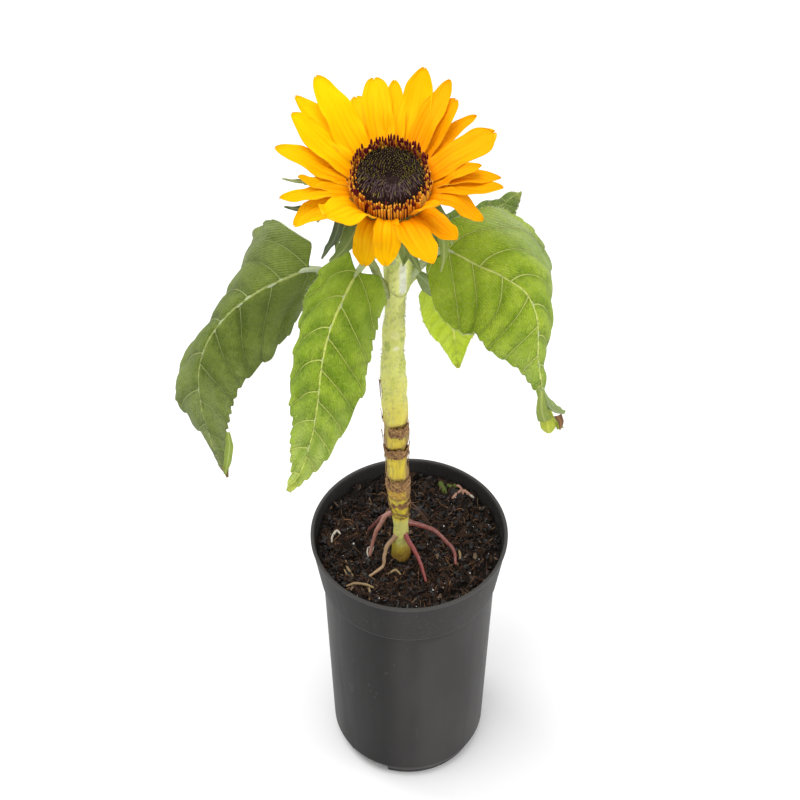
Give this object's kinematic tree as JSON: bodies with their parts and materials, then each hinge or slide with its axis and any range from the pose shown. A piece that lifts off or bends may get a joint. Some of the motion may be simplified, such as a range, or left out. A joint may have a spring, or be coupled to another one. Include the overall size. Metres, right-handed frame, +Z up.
{
  "type": "potted sunflower",
  "caption": "Young sunflower in a dark nursery pot: one open flower head, broad drooping leaves and arching roots above the soil.",
  "frame": {"origin": "middle of the pot's flat underside, at the level it stands on", "axes": "+Z up along the pot's axis, -Y towards the plant's best side, where the flower head faces, +X to its right"},
  "size_m": [0.2043, 0.1778, 0.5185],
  "materials": {
    "pot_plastic": "thin charcoal nursery pot plastic, satin, with soft vertical streaks",
    "potting_soil": "moist dark peat with bark fibres and white grains",
    "stem_skin": "pale green hairy stem, yellower below with brown leaf scars",
    "root_skin": "smooth pink to tan roots",
    "disc_florets": "dark brown disc florets with an orange and maroon outer ring",
    "bract_green": "green hairy bracts under the flower head",
    "ray_yellow": "golden yellow ray florets with fine lengthwise grooves",
    "leaf_green": "green leaf with pale raised veins and a hairy sheen"
  },
  "bodies": {
    "root": {"pot": "pot_plastic", "soil": "potting_soil", "stem": "stem_skin", "disc": "disc_florets", "calyx": "bract_green", "ray_01": "ray_yellow", "ray_02": "ray_yellow", "ray_03": "ray_yellow", "ray_04": "ray_yellow", "ray_05": "ray_yellow", "ray_06": "ray_yellow", "ray_07": "ray_yellow", "ray_08": "ray_yellow", "ray_09": "ray_yellow", "ray_10": "ray_yellow", "ray_11": "ray_yellow", "ray_12": "ray_yellow", "ray_13": "ray_yellow", "ray_14": "ray_yellow", "ray_15": "ray_yellow", "ray_16": "ray_yellow", "ray_17": "ray_yellow", "ray_18": "ray_yellow", "ray_19": "ray_yellow", "ray_20": "ray_yellow", "ray_21": "ray_yellow", "ray_22": "ray_yellow", "ray_23": "ray_yellow", "ray_24": "ray_yellow", "ray_25": "ray_yellow", "leaf_left": "leaf_green", "leaf_front": "leaf_green", "leaf_right": "leaf_green", "leaf_behind": "leaf_green", "leaf_far": "leaf_green", "leaf_back": "leaf_green", "root_right": "root_skin", "root_front": "root_skin", "root_tan": "root_skin", "root_left": "root_skin", "root_back": "root_skin"}
  },
  "joints": []
}
